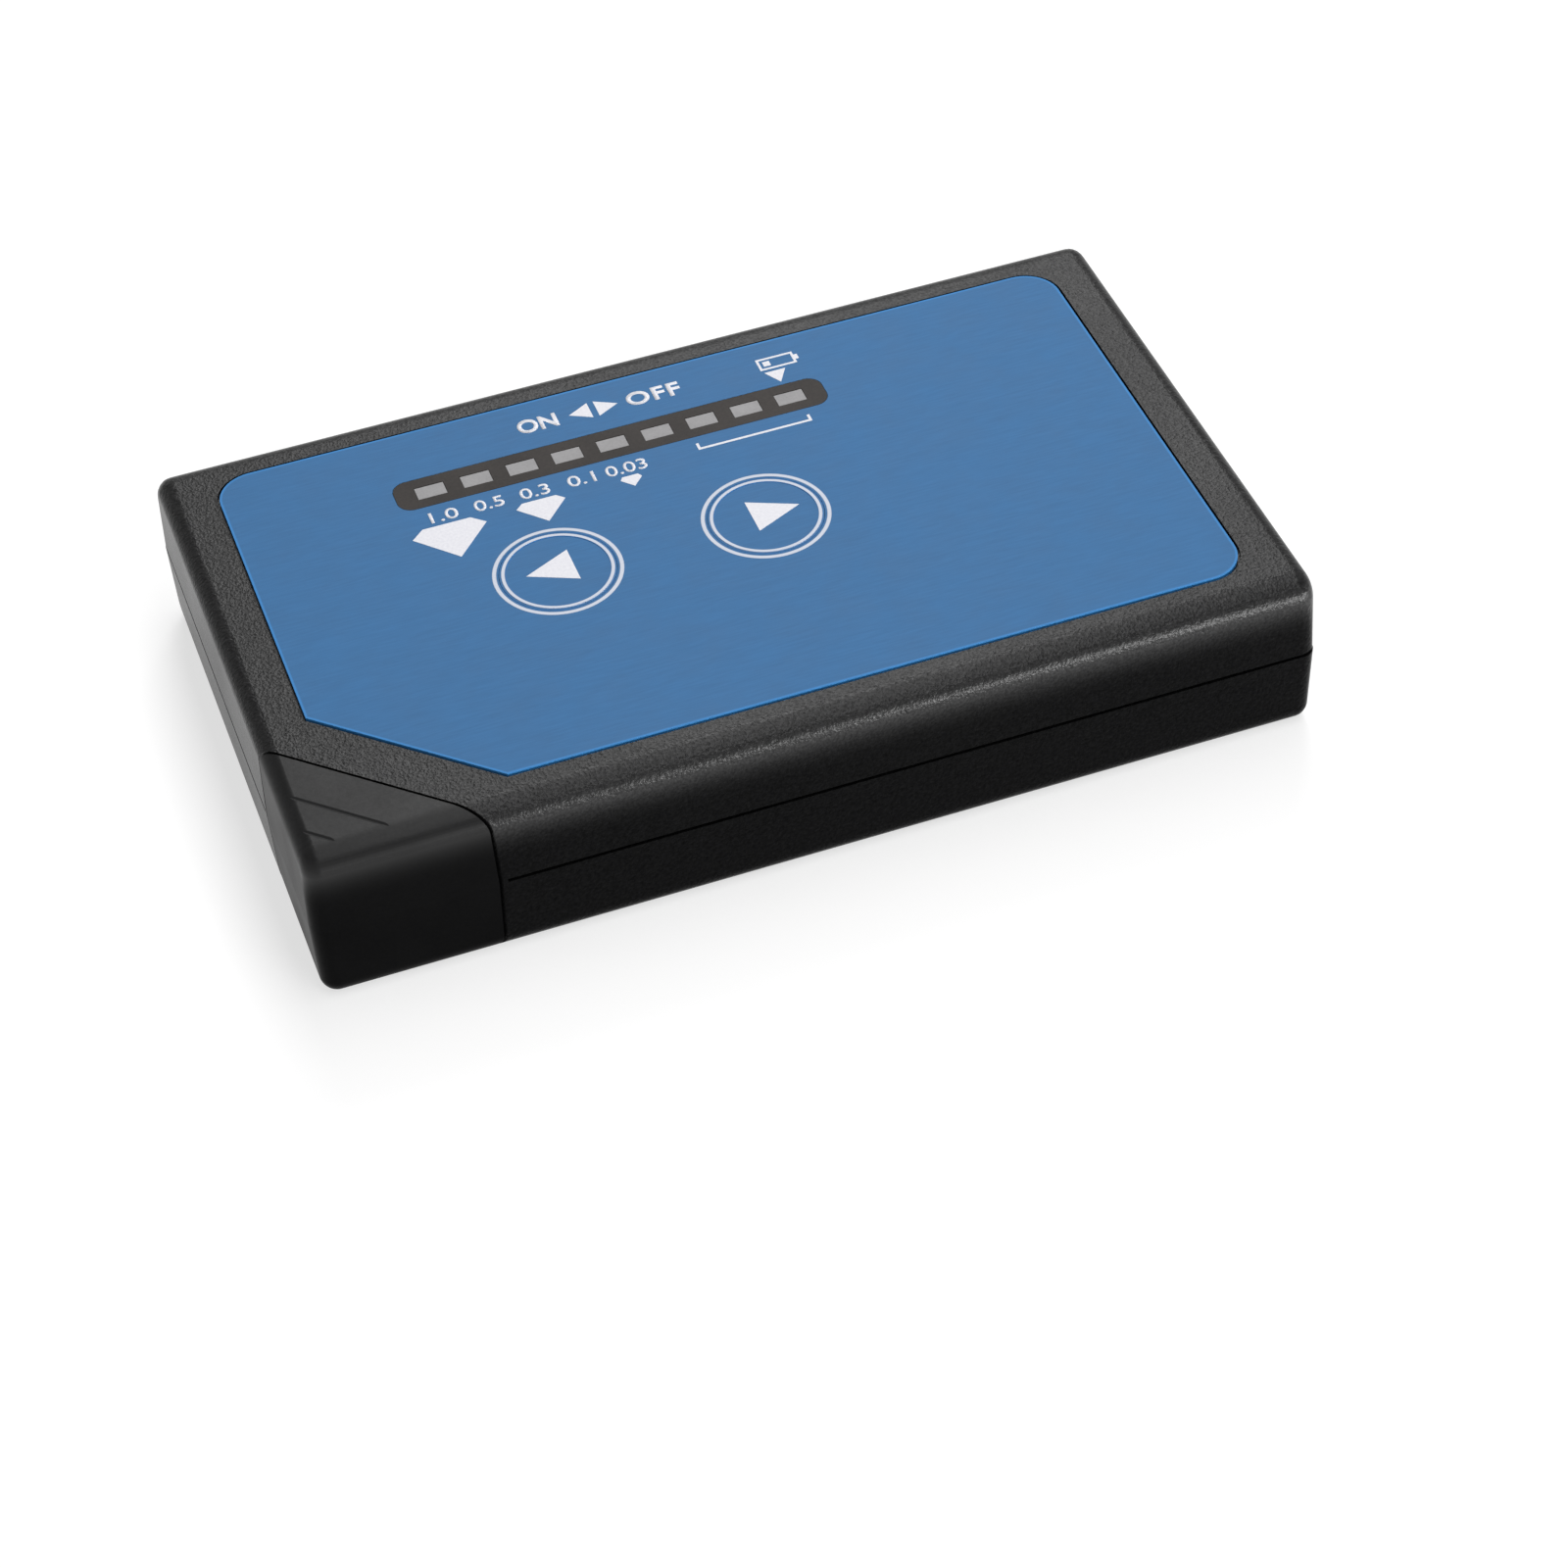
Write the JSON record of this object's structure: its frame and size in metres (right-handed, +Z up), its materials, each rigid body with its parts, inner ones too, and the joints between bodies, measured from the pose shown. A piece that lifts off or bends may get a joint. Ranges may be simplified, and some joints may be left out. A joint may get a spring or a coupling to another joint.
{
  "type": "diamond tester",
  "caption": "Flat pocket diamond tester: black two-part case, blue film face with indicator lights and keys, spring probe under a pull-off corner cap, sliding battery door.",
  "frame": {"origin": "middle of the case's plan, on its underside", "axes": "+X along the case, away from the probe's corner; +Y across it, away from the user; +Z up through the face"},
  "size_m": [0.1066, 0.0642, 0.0193],
  "materials": {
    "case_plastic": "fine spark texture, black",
    "cap_plastic": "smooth satin black",
    "screw_steel": "zinc plated",
    "blue_film": "printed film, satin blue with fine brushing",
    "smoked_window": "smoked",
    "light_lens": "diffusing, unlit",
    "circuit_board": "green solder mask",
    "switch_plastic": "moulded",
    "plunger_plastic": "moulded",
    "chip_plastic": "moulded epoxy with tinned pins",
    "resistor_body": "lacquered",
    "trimmer_plastic": "moulded blue",
    "can_aluminium": "sleeved can",
    "nose_plastic": "moulded",
    "brass": "turned",
    "copper_tip": "polished copper",
    "spring_steel": "drawn wire",
    "white_insulator": "ceramic white",
    "battery_wrap": "plain painted can",
    "terminal_metal": "nickel plated",
    "snap_plastic": "soft moulded",
    "red_sleeve": "lead insulation",
    "black_sleeve": "lead insulation"
  },
  "bodies": {
    "case": {"amplifier_chip": "chip_plastic", "battery": "battery_wrap", "battery_snap": "snap_plastic", "battery_terminals": "terminal_metal", "black_lead": "black_sleeve", "bottom_shell": "case_plastic", "buzzer": "switch_plastic", "capacitors": "can_aluminium", "case_screws": "screw_steel", "circuit_board": "circuit_board", "driver_chip": "chip_plastic", "face_panel": "blue_film", "led_1": "light_lens", "led_2": "light_lens", "led_3": "light_lens", "led_4": "light_lens", "led_5": "light_lens", "led_6": "light_lens", "led_7": "light_lens", "led_8": "light_lens", "led_9": "light_lens", "led_window": "smoked_window", "off_switch": "switch_plastic", "on_switch": "switch_plastic", "probe_barrel": "brass", "probe_insulator": "white_insulator", "probe_lead": "black_sleeve", "probe_nose": "nose_plastic", "probe_spring": "spring_steel", "red_lead": "red_sleeve", "resistors": "resistor_body", "top_shell": "case_plastic", "trim_pot": "trimmer_plastic"},
    "cap": {"corner_cap": "cap_plastic"},
    "on_button": {"on_key": "blue_film", "on_plunger": "plunger_plastic"},
    "off_button": {"off_key": "blue_film", "off_plunger": "plunger_plastic"},
    "probe": {"probe_tip": "copper_tip"},
    "door": {"battery_door": "case_plastic"}
  },
  "joints": [
    {"name": "cap_pull", "type": "slide", "parent": "case", "child": "cap", "axis": [-0.686, -0.7276, 0], "range_m": [0, 0.025]},
    {"name": "door_slide", "type": "slide", "parent": "case", "child": "door", "axis": [1, 0, 0], "range_m": [0, 0.03]},
    {"name": "on_press", "type": "slide", "parent": "case", "child": "on_button", "axis": [0, 0, -1], "range_m": [0, 0.0003], "stiffness_N_per_m": 800},
    {"name": "off_press", "type": "slide", "parent": "case", "child": "off_button", "axis": [0, 0, -1], "range_m": [0, 0.0003], "stiffness_N_per_m": 800},
    {"name": "probe_press", "type": "slide", "parent": "case", "child": "probe", "axis": [0.686, 0.7276, 0], "range_m": [0, 0.001], "stiffness_N_per_m": 500, "springref_m": -0.001, "deforming": ["probe_spring"]}
  ]
}
